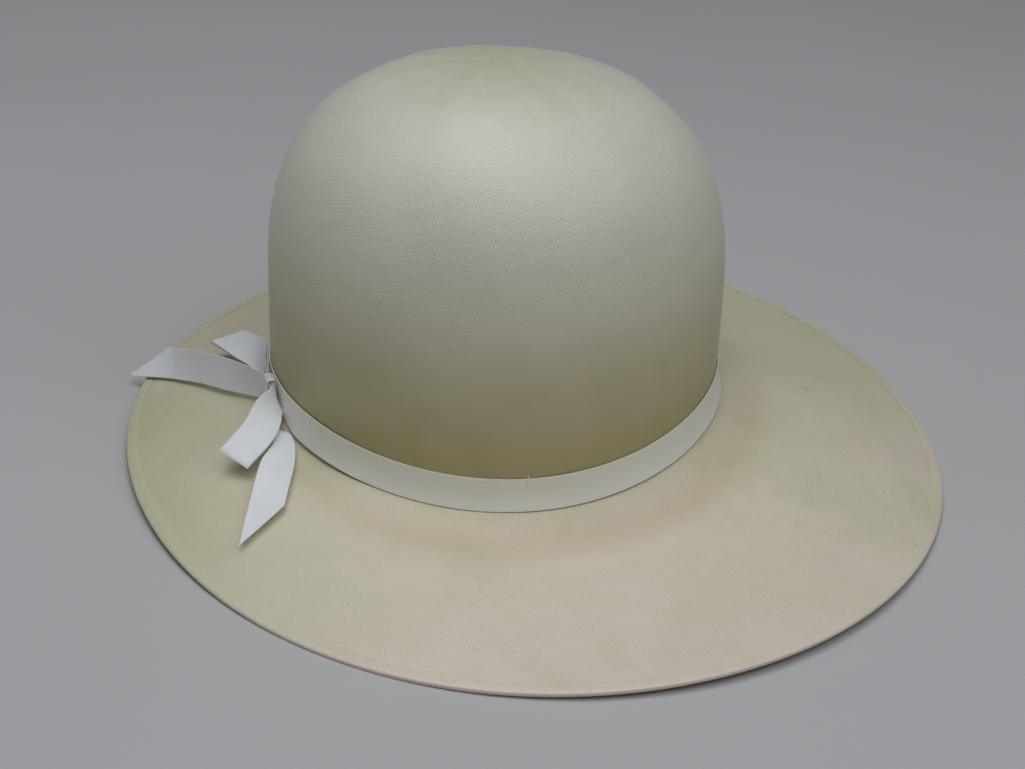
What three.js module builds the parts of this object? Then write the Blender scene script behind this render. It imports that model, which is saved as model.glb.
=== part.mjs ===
// A woman's sun hat of fine woven straw: a deep round crown and a wide drooping brim in one
// piece of weave, a turned and wired edge, a narrow ribbon band with a flat bow at the back,
// and a ribbon sweatband inside.
//
// Millimetres, +Z up. The hat stands on its brim on the plane z = 0. -Y is the front of the hat,
// +Y is the back, where the bow is. theta is measured round the crown from the front, and is
// positive towards +X.

import * as THREE from 'three';

// ---- Driving dimensions ----

// The oval of the head, measured on the outside of the straw at the band
const HEAD_HALF_LENGTH = 98;
const HEAD_HALF_WIDTH = 88.2;

// The crown: a squared-off dome over that oval
const CROWN_HEIGHT = 154;
const CROWN_SHOULDER = 4.74;
const CROWN_ROUND = 1.95;
const CROWN_FLARE = 0.02;
const CROWN_BACK_LEAN = 4;

// The line where crown and brim meet dips at the sides of the head
const BREAK_TILT = 1.85;
const BREAK_DIP = 6.5;
const BREAK_HEIGHT = 2.5;
const BREAK_RADIUS = 3;

// The brim: mean width, and how much wider it is in front than behind and at the sides
const BRIM_WIDTH = 92.5;
const BRIM_FRONT_EXTRA = 19.6;
const BRIM_SIDE_EXTRA = 8.7;
const BRIM_DROP = 21.7;
const BRIM_LOBE = 1.9;
const BRIM_CURVE = 1.25;

// Materials as thick as they lie on the hat
const STRAW = 1.2;
const RIBBON = 0.5;
const RIBBON_WIDTH = 14.4;
const LOOP_THICKNESS = 1.6;
const GAP = 0.3;

// The turned edge of the brim and what it holds
const HEM_WIDTH = 5.5;
const HEM_WALL = 0.7;
const WIRE_RADIUS = 0.6;
const THREAD_RADIUS = 0.25;
const EDGE_FLATTENING = 1.2;

// The sweatband inside the crown
const SWEATBAND_WIDTH = 28;
const SWEATBAND = 0.8;
const SEAM_TAB_HALF_ANGLE = 0.075;

// The bow, whose wrap stands on the band a little to the wearer's right of the middle of the back
const BOW_ANGLE = Math.PI + 0.17;
const WRAP_WIDTH = 7;
const WRAP_CLEARANCE = 0.4;
const GATHER = 0.85;
const FRONT_TAIL_GATHER = 0.5;
const FRONT_TAIL_DROP = -2.3;

// Where the hat's own middle lies over the table
const HEAD_CENTRE_Y = 19.6;
const HEAD_BASE_Z = BRIM_DROP + BRIM_LOBE + EDGE_FLATTENING;

// Facets
const AROUND = 48;
const CROWN_SIDE_HEIGHTS = [0.7, 0.56, 0.4, 0.22];
const CROWN_TOP_RADII = [0, 0.22, 0.44, 0.64, 0.8];
const BRIM_ROWS = [0, 0.03, 0.08, 0.2, 0.45, 0.72, 1];
const RIM_RADIUS = 100;

// ---- The shape of the hat ----

function breakLine(theta) {
  return BREAK_TILT * Math.cos(theta) + BREAK_DIP * Math.cos(2 * theta);
}

function brimWidth(theta) {
  return BRIM_WIDTH + BRIM_FRONT_EXTRA * Math.cos(theta) - BRIM_SIDE_EXTRA * Math.cos(2 * theta);
}

// How far the brim comes down from the break line to its edge. The edge has three low places.
function brimFall(theta) {
  return breakLine(theta) + BRIM_DROP + BRIM_LOBE * Math.cos(3 * theta);
}

// The level direction straight out from the head oval
function outward(theta) {
  const out = new THREE.Vector3(
    Math.sin(theta) / HEAD_HALF_WIDTH,
    -Math.cos(theta) / HEAD_HALF_LENGTH,
    0,
  );
  return out.normalize();
}

// height is 0 at the break line and 1 at the tip. inset is the depth under the outer face.
function crownPoint(height, theta, inset) {
  const dome = (1 - height ** CROWN_SHOULDER) ** (1 / CROWN_ROUND);
  const size = dome * (1 + CROWN_FLARE * height);
  return new THREE.Vector3(
    (HEAD_HALF_WIDTH - inset) * size * Math.sin(theta),
    CROWN_BACK_LEAN * height - (HEAD_HALF_LENGTH - inset) * size * Math.cos(theta),
    (CROWN_HEIGHT - inset) * height + breakLine(theta) * (1 - height),
  );
}

// share is 0 at the crown and 1 at the brim's edge. depth is measured down from the upper face.
function brimPoint(share, theta, depth) {
  const reach = brimWidth(theta) * share;
  const foot = BREAK_HEIGHT * (1 - Math.exp(-reach / BREAK_RADIUS));
  const fall = (brimFall(theta) - BREAK_HEIGHT) * share ** BRIM_CURVE;
  const inset = share === 0 ? depth : 0;
  const point = crownPoint(0, theta, inset).addScaledVector(outward(theta), reach);
  point.z -= foot + fall + depth;
  return point;
}

// Places a point by its distance out from the crown's wall and its height over the break line
function wallPoint(theta, out, rise) {
  const height = rise / (CROWN_HEIGHT - breakLine(theta));
  return crownPoint(height, theta, 0).addScaledVector(outward(theta), out);
}

// Places a point by its distance out from the brim's edge, along the slope of the brim, and its
// distance over the brim's upper face. Nothing goes under the table.
function edgePoint(theta, out, over) {
  const slope = Math.atan((brimFall(theta) - BREAK_HEIGHT) * BRIM_CURVE / brimWidth(theta));
  const level = out * Math.cos(slope) + over * Math.sin(slope);
  const point = brimPoint(1, theta, 0).addScaledVector(outward(theta), level);
  point.z += over * Math.cos(slope) - out * Math.sin(slope);
  point.z = Math.max(point.z, -HEAD_BASE_Z);
  return point;
}

// ---- Ways of making a solid ----

// Moves every vertex of a plain geometry to where place(x, y, z) says
function mould(geometry, place) {
  const position = geometry.attributes.position;
  for (let i = 0; i < position.count; i += 1) {
    const moved = place(position.getX(i), position.getY(i), position.getZ(i));
    position.setXYZ(i, moved.x, moved.y, moved.z);
  }
  geometry.computeVertexNormals();
  return geometry;
}

// A ring round the hat. The section's points are [distance out, height], and place puts them.
function ring(section, place) {
  const closed = [...section, section[0]];
  const profile = closed.map(([out, rise]) => new THREE.Vector2(RIM_RADIUS + out, rise));
  const lathe = new THREE.LatheGeometry(profile, AROUND);
  return mould(lathe, (x, y, z) => place(Math.atan2(x, z), Math.hypot(x, z) - RIM_RADIUS, y));
}

// Corners of an upright rectangle, in order
function rectangle(left, bottom, right, top) {
  return [[left, bottom], [right, bottom], [right, top], [left, top]];
}

// Corners of a small round section, in order
function roundSection(out, rise, radius, corners) {
  const points = [];
  for (let i = 0; i < corners; i += 1) {
    const turn = (2 * Math.PI * i) / corners;
    points.push([out + radius * Math.cos(turn), rise + radius * Math.sin(turn)]);
  }
  return points;
}

// A ribbon that follows stations. Each holds a point on its middle line, the direction of its
// upper edge, and the share of its full width that it has there, less where it is gathered.
// lengthOver is how much longer the upper edge is than the lower one.
function ribbon(stations, thickness, lengthOver, steps) {
  const line = new THREE.CatmullRomCurve3(stations.map(([at]) => new THREE.Vector3(...at)));
  const edge = new THREE.CatmullRomCurve3(
    stations.map(([, up, share]) => new THREE.Vector3(...up).setLength(share)),
  );
  const length = line.getLength();
  const middleLength = length - Math.abs(lengthOver) / 2;
  const strip = new THREE.BoxGeometry(1, 1, 1, steps, 1, 1);
  return mould(strip, (x, y, z) => {
    const along = ((x + 0.5) * (middleLength + lengthOver * y)) / length;
    const ahead = line.getTangentAt(along);
    const up = edge.getPoint(line.getUtoTmapping(along));
    const width = up.length() * RIBBON_WIDTH;
    up.addScaledVector(ahead, -up.dot(ahead)).normalize();
    const face = ahead.clone().cross(up);
    const point = line.getPointAt(along);
    return point.addScaledVector(up, y * width).addScaledVector(face, z * thickness);
  });
}

// A round thread along a smooth line through the points
function thread(points) {
  const section = new THREE.Shape(
    roundSection(0, 0, THREAD_RADIUS, 6).map(([x, y]) => new THREE.Vector2(x, y)),
  );
  const path = new THREE.CatmullRomCurve3(points.map((point) => new THREE.Vector3(...point)));
  return new THREE.ExtrudeGeometry(section, { extrudePath: path, steps: 4 });
}

// ---- Materials ----

const straw = new THREE.MeshStandardMaterial({ color: '#d6cfae', roughness: 0.75 });
const turnedStraw = new THREE.MeshStandardMaterial({ color: '#d9c9a3', roughness: 0.75 });
const whiteRibbon = new THREE.MeshStandardMaterial({ color: '#ebebe8', roughness: 0.6 });
const liningRibbon = new THREE.MeshStandardMaterial({ color: '#e6e0cf', roughness: 0.8 });
const cottonThread = new THREE.MeshStandardMaterial({ color: '#efe9d8', roughness: 0.7 });
const edgeWire = new THREE.MeshStandardMaterial({ color: '#b9bcc0', roughness: 0.4, metalness: 1 });

const hat = new THREE.Group();
hat.position.set(0, HEAD_CENTRE_Y, HEAD_BASE_Z);

function add(name, geometry, material) {
  const mesh = new THREE.Mesh(geometry, material);
  mesh.name = name;
  hat.add(mesh);
}

// ---- The straw body: crown and brim woven in one ----

// The weave starts as a flat disc with one circle of vertices for each row, which is then
// moulded over the hat block. It stops short of the edge, inside the turned hem.
function strawBody() {
  const topHeights = CROWN_TOP_RADII.map((r) => (1 - r ** CROWN_ROUND) ** (1 / CROWN_SHOULDER));
  const crownHeights = [...topHeights, ...CROWN_SIDE_HEIGHTS];
  const rows = crownHeights.length + BRIM_ROWS.length;
  const upper = [];
  const lower = [];
  for (let row = 0; row < rows; row += 1) {
    lower.push(new THREE.Vector2(row, 0));
    upper.unshift(new THREE.Vector2(row, 1));
  }
  const disc = new THREE.LatheGeometry([...lower, ...upper], AROUND);
  return mould(disc, (x, side, z) => {
    const theta = Math.atan2(x, z);
    const row = Math.round(Math.hypot(x, z));
    const depth = STRAW * (1 - side);
    if (row < crownHeights.length) {
      return crownPoint(crownHeights[row], theta, depth);
    }
    const inHem = 1 - (2 * WIRE_RADIUS + 2 * GAP + HEM_WALL) / brimWidth(theta);
    return brimPoint(BRIM_ROWS[row - crownHeights.length] * inHem, theta, depth);
  });
}

add('straw_body', strawBody(), straw);

// ---- The turned edge, its wire and its stitching ----

// A fold of straw with its opening towards the crown
const hemTop = GAP + HEM_WALL;
const hemUnder = -STRAW - GAP - HEM_WALL;
const hemSection = [
  [-HEM_WIDTH, hemUnder],
  [-2.4, hemUnder],
  [-1.2, hemUnder],
  [-0.35, -1.55],
  [0, -STRAW / 2],
  [-0.35, 0.4],
  [-1.2, hemTop],
  [-HEM_WIDTH, hemTop],
  [-HEM_WIDTH, GAP],
  [-HEM_WALL, GAP],
  [-HEM_WALL, -STRAW - GAP],
  [-HEM_WIDTH, -STRAW - GAP],
];
add('brim_hem', ring(hemSection, edgePoint), turnedStraw);

const wireSection = roundSection(-HEM_WALL - GAP - WIRE_RADIUS, -STRAW / 2, WIRE_RADIUS, 5);
add('brim_wire', ring(wireSection, edgePoint), edgeWire);

const hemStitches = roundSection(0.8 - HEM_WIDTH, hemTop + GAP + THREAD_RADIUS, THREAD_RADIUS, 4);
add('brim_stitching', ring(hemStitches, edgePoint), cottonThread);

// ---- The ribbon band and the stitches that tack it to the crown ----

const bandFace = GAP + RIBBON;
add('hat_band', ring(rectangle(GAP, 0, bandFace, RIBBON_WIDTH), wallPoint), whiteRibbon);

function bandTack(name, theta) {
  const rises = [RIBBON_WIDTH - 3, RIBBON_WIDTH - 0.5, RIBBON_WIDTH + 2];
  const points = rises.map((rise) => wallPoint(theta, bandFace + GAP + THREAD_RADIUS, rise));
  add(name, thread(points.map((point) => point.toArray())), cottonThread);
}

bandTack('band_tack_front', 0);
bandTack('band_tack_left', Math.PI / 2);
bandTack('band_tack_right', -Math.PI / 2);

// ---- The sweatband inside the crown ----

const sweatOut = -STRAW - GAP;
const sweatIn = sweatOut - SWEATBAND;
const tabMiddle = sweatIn - 2 * GAP - SWEATBAND / 2;
add('sweatband', ring(rectangle(sweatIn, 0.5, sweatOut, SWEATBAND_WIDTH), wallPoint), liningRibbon);

// The tab that covers the seam of the sweatband at the back
function seamTab() {
  const tab = new THREE.BoxGeometry(1, 1, 1, 2, 1, 1);
  return mould(tab, (x, y, z) => wallPoint(
    Math.PI + 2 * SEAM_TAB_HALF_ANGLE * x,
    tabMiddle + z * SWEATBAND,
    SWEATBAND_WIDTH / 2 + y * (SWEATBAND_WIDTH - 2),
  ));
}

add('sweatband_seam_tab', seamTab(), liningRibbon);

const sweatStitches = roundSection(sweatIn - GAP - THREAD_RADIUS, 1.6, THREAD_RADIUS, 4);
const clearOfTab = SWEATBAND + GAP;

// The line of stitches drops below the tab's lower edge, so it runs clear of it
add(
  'sweatband_stitching',
  ring(sweatStitches, (theta, out, rise) => wallPoint(theta, out, rise - clearOfTab)),
  cottonThread,
);

// ---- The bow ----

// The bow has its own directions where it stands on the band: along the band towards +X, and out
const bowMiddle = wallPoint(BOW_ANGLE, 0, RIBBON_WIDTH / 2);
const bowOut = outward(BOW_ANGLE);
const bowAlong = new THREE.Vector3(bowOut.y, -bowOut.x, 0);

function bowPoint(along, out, over) {
  const point = bowMiddle.clone().addScaledVector(bowAlong, along).addScaledVector(bowOut, out);
  point.z += over;
  return point;
}

// Inside the wrap the loops lie against the wrap's back and the tails lie over them
const wrapBack = bandFace + WRAP_CLEARANCE;
const wrapFront = wrapBack + 3 * RIBBON + LOOP_THICKNESS + 3 * GAP;
const loopLayer = wrapBack + RIBBON + GAP + LOOP_THICKNESS / 2;
const tailLayer = wrapFront - RIBBON - GAP - RIBBON / 2;
const upright = [0, 0, 1];

// The first stations of a ribbon, which starts at the wrap's middle and leaves it level
function throughWrap(side, out, over, share) {
  const reaches = [GAP, WRAP_WIDTH * 0.5, WRAP_WIDTH * 0.62];
  return reaches.map((reach) => [bowPoint(side * reach, out, over).toArray(), upright, share]);
}

add('bow_loop_rear', ribbon([
  ...throughWrap(1, loopLayer, 0, GATHER),
  [[1, 101.4, 12.4], [0.05, -0.1, 1], 0.9],
  [[13, 102.6, 13], [0.3, -0.35, 0.85], 0.95],
  [[32, 109.5, 8.6], [0.4, -0.8, 0.45], 1],
  [[57, 117.5, 0.4], [0.3, -0.93, 0.2], 1],
], LOOP_THICKNESS, -6, 14), whiteRibbon);

add('bow_loop_front', ribbon([
  ...throughWrap(-1, loopLayer, 0, GATHER),
  [[-25.5, 97.3, 12], [0, 0, 1], 0.86],
  [[-31, 100.8, 11.6], [0.1, 0.96, 0.2], 1],
  [[-41, 105.6, 7.6], [0.4, 0.85, 0.3], 1],
  [[-53, 117, 0.8], [0.55, 0.77, 0.31], 1],
], LOOP_THICKNESS, 0, 14), whiteRibbon);

add('bow_tail_long', ribbon([
  ...throughWrap(1, tailLayer, 0, GATHER),
  [[-4.4, 107.5, 10.2], [-0.1, -0.06, 0.99], 0.95],
  [[9.4, 118, 6.6], [0.18, -0.09, 0.98], 1],
  [[25.6, 128.7, 1.4], [0.26, -0.1, 0.96], 1],
  [[38.1, 136.3, -3.6], [0.45, -0.15, 0.88], 1],
  [[49.6, 143.5, -8.8], [0.6, -0.22, 0.76], 1],
  [[64.5, 160, -15.2], [0.6, -0.25, 0.76], 1],
], RIBBON, -21, 24), whiteRibbon);

add('bow_tail_front', ribbon([
  ...throughWrap(-1, tailLayer, FRONT_TAIL_DROP, FRONT_TAIL_GATHER),
  [[-26, 100.9, 6.2], [0, 0, 1], 0.45],
  [[-31, 99.6, 4], [0, 0.5, 0.8], 0.45],
  [[-37, 96.2, 3.6], [0.1, 0.9, 0.4], 0.55],
  [[-44, 95.8, 2.3], [0.2, 0.95, 0.05], 0.75],
  [[-58, 99.6, -0.2], [0.15, 0.98, -0.02], 1],
  [[-77, 104.4, -5.2], [0.15, 0.98, -0.05], 1],
  [[-98, 109.8, -12.6], [0.15, 0.98, -0.05], 1],
], RIBBON, 22, 24), whiteRibbon);

// The short ribbon wrapped round the middle of the bow
function bowWrap() {
  const half = (GATHER * RIBBON_WIDTH) / 2 + GAP + RIBBON;
  const corner = (out, over) => new THREE.Vector2(out, over);
  const outline = new THREE.Shape([
    corner(wrapBack, -half), corner(wrapFront, -half),
    corner(wrapFront, half), corner(wrapBack, half),
  ]);
  outline.holes.push(new THREE.Path([
    corner(wrapBack + RIBBON, RIBBON - half),
    corner(wrapBack + RIBBON, half - RIBBON),
    corner(wrapFront - RIBBON, half - RIBBON),
    corner(wrapFront - RIBBON, RIBBON - half),
  ]));
  const sleeve = new THREE.ExtrudeGeometry(outline, { depth: WRAP_WIDTH, bevelEnabled: false });
  return mould(sleeve, (out, over, along) => bowPoint(along - WRAP_WIDTH / 2, out, over));
}

add('bow_wrap', bowWrap(), whiteRibbon);

// Two stitches that hold the wrap to the band, over its top and under its lower edge
function bowStitch(name, side) {
  const over = side * ((GATHER * RIBBON_WIDTH) / 2 + RIBBON + 2 * GAP + THREAD_RADIUS);
  const outs = [wrapBack + THREAD_RADIUS, (wrapBack + wrapFront) / 2, wrapFront];
  const overs = [over, over + side * GAP, over];
  add(name, thread(outs.map((out, i) => bowPoint(0, out, overs[i]).toArray())), cottonThread);
}

bowStitch('bow_stitch_upper', 1);
bowStitch('bow_stitch_lower', -1);

export default hat;
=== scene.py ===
"""A woman's straw sun hat on a plain pale floor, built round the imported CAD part.

All shapes are worked out in millimetres from the middle of the head oval, as in the CAD part, and
moved into the frame in metres at the end. -Y is the front of the hat and +Y is the back, where
the bow is. theta is measured round the crown from the front, and is positive towards +X.
"""

import math

import bmesh
import bpy
import numpy as np
from mathutils import Matrix, Vector


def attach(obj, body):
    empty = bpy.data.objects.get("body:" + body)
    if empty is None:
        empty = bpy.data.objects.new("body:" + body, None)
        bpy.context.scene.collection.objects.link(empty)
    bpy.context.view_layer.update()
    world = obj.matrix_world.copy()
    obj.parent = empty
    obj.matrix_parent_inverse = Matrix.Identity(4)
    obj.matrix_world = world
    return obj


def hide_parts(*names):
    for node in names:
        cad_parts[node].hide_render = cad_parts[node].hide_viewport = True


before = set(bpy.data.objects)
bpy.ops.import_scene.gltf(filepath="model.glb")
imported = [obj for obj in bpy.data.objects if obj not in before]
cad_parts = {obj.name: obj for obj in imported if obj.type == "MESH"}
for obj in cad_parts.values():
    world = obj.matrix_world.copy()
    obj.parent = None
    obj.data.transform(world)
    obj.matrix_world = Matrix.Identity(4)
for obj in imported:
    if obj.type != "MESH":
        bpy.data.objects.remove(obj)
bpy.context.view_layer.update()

# ---- Dimensions of the part, in millimetres ----

HEAD_HALF_LENGTH = 98
HEAD_HALF_WIDTH = 88.2
CROWN_HEIGHT = 154
CROWN_SHOULDER = 4.74
CROWN_ROUND = 1.95
CROWN_FLARE = 0.02
CROWN_BACK_LEAN = 4
BREAK_TILT = 1.85
BREAK_DIP = 6.5
BREAK_HEIGHT = 2.5
BREAK_RADIUS = 3
BRIM_WIDTH = 92.5
BRIM_FRONT_EXTRA = 19.6
BRIM_SIDE_EXTRA = 8.7
BRIM_DROP = 21.7
BRIM_LOBE = 1.9
BRIM_CURVE = 1.25
STRAW = 1.2
RIBBON = 0.5
RIBBON_WIDTH = 14.4
LOOP_THICKNESS = 1.6
GAP = 0.3
HEM_WIDTH = 5.5
HEM_WALL = 0.7
WIRE_RADIUS = 0.6
SWEATBAND_WIDTH = 28
SWEATBAND = 0.8
SEAM_TAB_HALF_ANGLE = 0.075
BOW_ANGLE = math.pi + 0.17
WRAP_WIDTH = 7
WRAP_CLEARANCE = 0.4
GATHER = 0.85
FRONT_TAIL_GATHER = 0.5
FRONT_TAIL_DROP = -2.3
HEAD_CENTRE = np.array([0, 19.6, 24.8])
FLOOR_CLEARANCE = 0.05

# ---- Details that only the visual model has, in millimetres ----

RIDGE_HEIGHT = 1.8
RIDGE_END = 9
VALLEY_DEPTH = 1.4
VALLEY_OUT = 23
VALLEY_WIDTH = 5.5
KNOT_HEIGHT = 0.25
KNOT_SPACING = 3.2
KNOT_REACH = 9
BAND_START = 1.1
BAND_THICKNESS = 0.42
BAND_LEAN = 1.9
BAND_FLARE = 1.2
BAND_HOLLOW = 0.35
BAND_TUCK = 1.6
REAR_LOOP_SLANT = 6
LONG_TAIL_CUT = 21
FRONT_TAIL_CUT = 22
HEM_STITCHES = 320
SWEATBAND_STITCHES = 150

# ---- Fineness of the meshes ----

AROUND = 288
ROW_SPACING = 2.4
ACROSS_RIBBON = 10

# ---- The weave, in millimetres ----

STRAND = 1.5
STRAND_SLOPE = math.radians(22)
RING_SPACING = 10
LONGEST_MERIDIAN = 330

# ---- The photograph's viewpoint, in millimetres and degrees in the frame ----

CAMERA_AZIMUTH = -100.3
CAMERA_ELEVATION = 27.6
CAMERA_DISTANCE = 832.5
CAMERA_ROLL = 2.94
CAMERA_TARGET = HEAD_CENTRE + np.array([0, 0, 30])
IMAGE_WIDTH = 1025
IMAGE_FOCAL = 1896
IMAGE_SHIFT = (15.55, -56.4)
SENSOR = 36

MM = 0.001


# ---- The shape of the hat, as in the CAD part ----


def break_line(theta):
    return BREAK_TILT * np.cos(theta) + BREAK_DIP * np.cos(2 * theta)


def brim_width(theta):
    extra = BRIM_FRONT_EXTRA * np.cos(theta) - BRIM_SIDE_EXTRA * np.cos(2 * theta)
    return BRIM_WIDTH + extra


def brim_fall(theta):
    return break_line(theta) + BRIM_DROP + BRIM_LOBE * np.cos(3 * theta)


def outward(theta):
    """The level direction straight out from the head oval."""
    out = np.stack(
        [np.sin(theta) / HEAD_HALF_WIDTH, -np.cos(theta) / HEAD_HALF_LENGTH, 0 * theta], -1
    )
    return out / np.linalg.norm(out, axis=-1, keepdims=True)


def crown_point(height, theta, inset):
    """height is 0 at the break line and 1 at the tip. inset is the depth under the outer face."""
    dome = np.clip(1 - np.clip(height, 0, 1) ** CROWN_SHOULDER, 0, 1) ** (1 / CROWN_ROUND)
    size = dome * (1 + CROWN_FLARE * height)
    return np.stack(
        [
            (HEAD_HALF_WIDTH - inset) * size * np.sin(theta),
            CROWN_BACK_LEAN * height - (HEAD_HALF_LENGTH - inset) * size * np.cos(theta),
            (CROWN_HEIGHT - inset) * height + break_line(theta) * (1 - height),
        ],
        -1,
    )


def brim_point(share, theta, depth):
    """share is 0 at the crown and 1 at the brim's edge. depth is under the upper face."""
    reach = brim_width(theta) * share
    foot = BREAK_HEIGHT * (1 - np.exp(-reach / BREAK_RADIUS))
    fall = (brim_fall(theta) - BREAK_HEIGHT) * share**BRIM_CURVE
    inset = np.where(share == 0, depth, 0)
    point = crown_point(0 * theta, theta, inset) + outward(theta) * reach[..., None]
    point[..., 2] -= foot + fall + depth
    return point


def wall_point(theta, out, rise):
    """A point by its distance out from the crown's wall and its height over the break line."""
    height = rise / (CROWN_HEIGHT - break_line(theta))
    return crown_point(height, theta, 0 * theta) + outward(theta) * (out + 0 * theta)[..., None]


def edge_point(theta, out, over):
    """A point by its distance out from the brim's edge and over its face, never below the floor."""
    slope = np.arctan((brim_fall(theta) - BREAK_HEIGHT) * BRIM_CURVE / brim_width(theta))
    level = out * np.cos(slope) + over * np.sin(slope)
    point = brim_point(1 + 0 * theta, theta, 0 * theta) + outward(theta) * level[..., None]
    point[..., 2] += over * np.cos(slope) - out * np.sin(slope)
    point[..., 2] = np.maximum(point[..., 2], FLOOR_CLEARANCE - HEAD_CENTRE[2])
    return point


# ---- Making meshes ----


def make_object(name, vertices, faces, corners=None):
    """A mesh from points in millimetres. corners holds the UV of each corner of each face."""
    mesh = bpy.data.meshes.new(name)
    mesh.from_pydata((np.asarray(vertices) + HEAD_CENTRE) * MM, [], faces.tolist())
    if corners is not None:
        layer = mesh.uv_layers.new(name="weave")
        layer.data.foreach_set("uv", np.asarray(corners, np.float32).ravel())
    piece = bpy.data.objects.new(name, mesh)
    bpy.context.scene.collection.objects.link(piece)
    return piece


def tidy(piece, sharp=40):
    """Joins points that coincide, turns every face outwards and smooths all but sharp edges."""
    work = bmesh.new()
    work.from_mesh(piece.data)
    bmesh.ops.remove_doubles(work, verts=work.verts, dist=2e-6)
    bmesh.ops.recalc_face_normals(work, faces=work.faces)
    work.to_mesh(piece.data)
    work.free()
    piece.data.shade_smooth()
    piece.data.set_sharp_from_angle(angle=math.radians(sharp))
    return piece


def skin(name, sections, coords, joined):
    """Skins sections[i, j], closed in j. coords has one more column, and if joined one more row.

    The last section joins the first if joined is true, and otherwise both ends are capped.
    """
    rows, columns = sections.shape[:2]
    last = rows if joined else rows - 1
    i, j = np.meshgrid(np.arange(last), np.arange(columns), indexing="ij")
    i, j = i.ravel(), j.ravel()
    steps = [(0, 0), (1, 0), (1, 1), (0, 1)]
    index = [(i + a) % rows * columns + (j + b) % columns for a, b in steps]
    faces = np.stack(index, -1)
    corners = np.stack([coords[i + a, j + b] for a, b in steps], 1)
    piece = make_object(name, sections.reshape(-1, 3), faces, corners)
    if not joined:
        work = bmesh.new()
        work.from_mesh(piece.data)
        work.verts.ensure_lookup_table()
        uv = work.loops.layers.uv["weave"]
        for row in (0, rows - 1):
            cap = work.faces.new([work.verts[row * columns + k] for k in range(columns)])
            for loop, k in zip(cap.loops, range(columns)):
                loop[uv].uv = coords[row, k]
        bmesh.ops.triangulate(work, faces=[f for f in work.faces if len(f.verts) > 4])
        work.to_mesh(piece.data)
        work.free()
    return piece


def theta_steps(count=AROUND):
    return np.arange(count) * 2 * math.pi / count


def ring_piece(name, section, place, count=AROUND, start=0):
    """A ring round the hat from a section of [distance out, height] points, which place puts.

    start is where its weave begins, in millimetres from the tip.
    """
    theta = theta_steps(count)[:, None]
    out, rise = (np.asarray(section, float).T)[:, None, :]
    sections = place(theta + 0 * out, out + 0 * theta, rise + 0 * theta)
    closed = np.vstack([section, section[:1]])
    across = start + np.r_[0, np.cumsum(np.linalg.norm(np.diff(closed, axis=0), axis=1))]
    turns = np.linspace(0, 1, count + 1)
    coords = np.stack(np.meshgrid(turns, across * MM, indexing="ij"), -1)
    return tidy(skin(name, sections, coords, True))


# ---- Nodes ----


class Nodes:
    """Short ways to add shader nodes to one material."""

    def __init__(self, name):
        self.material = bpy.data.materials.new(name)
        self.material.use_nodes = True
        self.tree = self.material.node_tree
        self.shader = self.tree.nodes["Principled BSDF"]

    def add(self, kind, inputs=None, **settings):
        node = self.tree.nodes.new("ShaderNode" + kind)
        for key, value in settings.items():
            setattr(node, key, value)
        for key, value in (inputs or {}).items():
            self.give(node.inputs[key], value)
        return node

    def give(self, socket, value):
        if isinstance(value, bpy.types.NodeSocket):
            self.tree.links.new(value, socket)
        else:
            socket.default_value = value

    def math(self, operation, *values):
        node = self.add("Math", operation=operation)
        for socket, value in zip(node.inputs, values):
            self.give(socket, value)
        return node.outputs[0]

    def total(self, *values):
        result = values[0]
        for value in values[1:]:
            result = self.math("ADD", result, value)
        return result

    def times(self, a, b):
        return self.math("MULTIPLY", a, b)

    def scaled(self, value, low, high, to_low=0.0, to_high=1.0):
        inputs = {
            "Value": value,
            "From Min": low,
            "From Max": high,
            "To Min": to_low,
            "To Max": to_high,
        }
        return self.add("MapRange", inputs).outputs[0]

    def mix(self, factor, a, b, blend="MIX"):
        node = self.add("Mix", data_type="RGBA", blend_type=blend)
        colours = [s for s in node.inputs if s.type == "RGBA"]
        self.give(node.inputs[0], factor)
        self.give(colours[0], a)
        self.give(colours[1], b)
        return next(s for s in node.outputs if s.type == "RGBA")

    def place(self, scale=(1, 1, 1), turn=(0, 0, 0)):
        """Object coordinates, stretched and turned."""
        source = self.add("TexCoord").outputs["Object"]
        inputs = {"Vector": source, "Scale": scale, "Rotation": turn}
        return self.add("Mapping", inputs).outputs[0]

    def noise(self, vector, scale, detail=2.0, roughness=0.5):
        inputs = {"Vector": vector, "Scale": scale, "Detail": detail, "Roughness": roughness}
        return self.add("TexNoise", inputs).outputs["Fac"]

    def chance(self, value, seed):
        """A random number for each whole value."""
        inputs = {"W": self.math("ADD", value, seed)}
        return self.add("TexWhiteNoise", inputs, noise_dimensions="1D").outputs["Value"]

    def bump(self, height, distance, strength=1.0, normal=None):
        inputs = {"Height": height, "Distance": distance, "Strength": strength}
        if normal is not None:
            inputs["Normal"] = normal
        return self.add("Bump", inputs).outputs[0]

    def set(self, **sockets):
        for name, value in sockets.items():
            title = name.replace("_", " ").title().replace("Ior", "IOR")
            self.give(self.shader.inputs[title], value)
        return self.material


def linear(red, green, blue):
    """A linear colour from an sRGB one of 0 to 255."""

    def channel(value):
        share = value / 255
        return share / 12.92 if share <= 0.04045 else ((share + 0.055) / 1.055) ** 2.4

    return (channel(red), channel(green), channel(blue), 1)


# ---- The straw's material ----


def ring_share(distance):
    """How large the hat is round at a distance from the tip along a meridian, 1 at the band."""
    flat = HEAD_HALF_WIDTH
    wall = MERIDIAN_BREAK
    return min(distance / flat, 1) if distance < wall else 1 + (distance - wall) / flat


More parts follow.
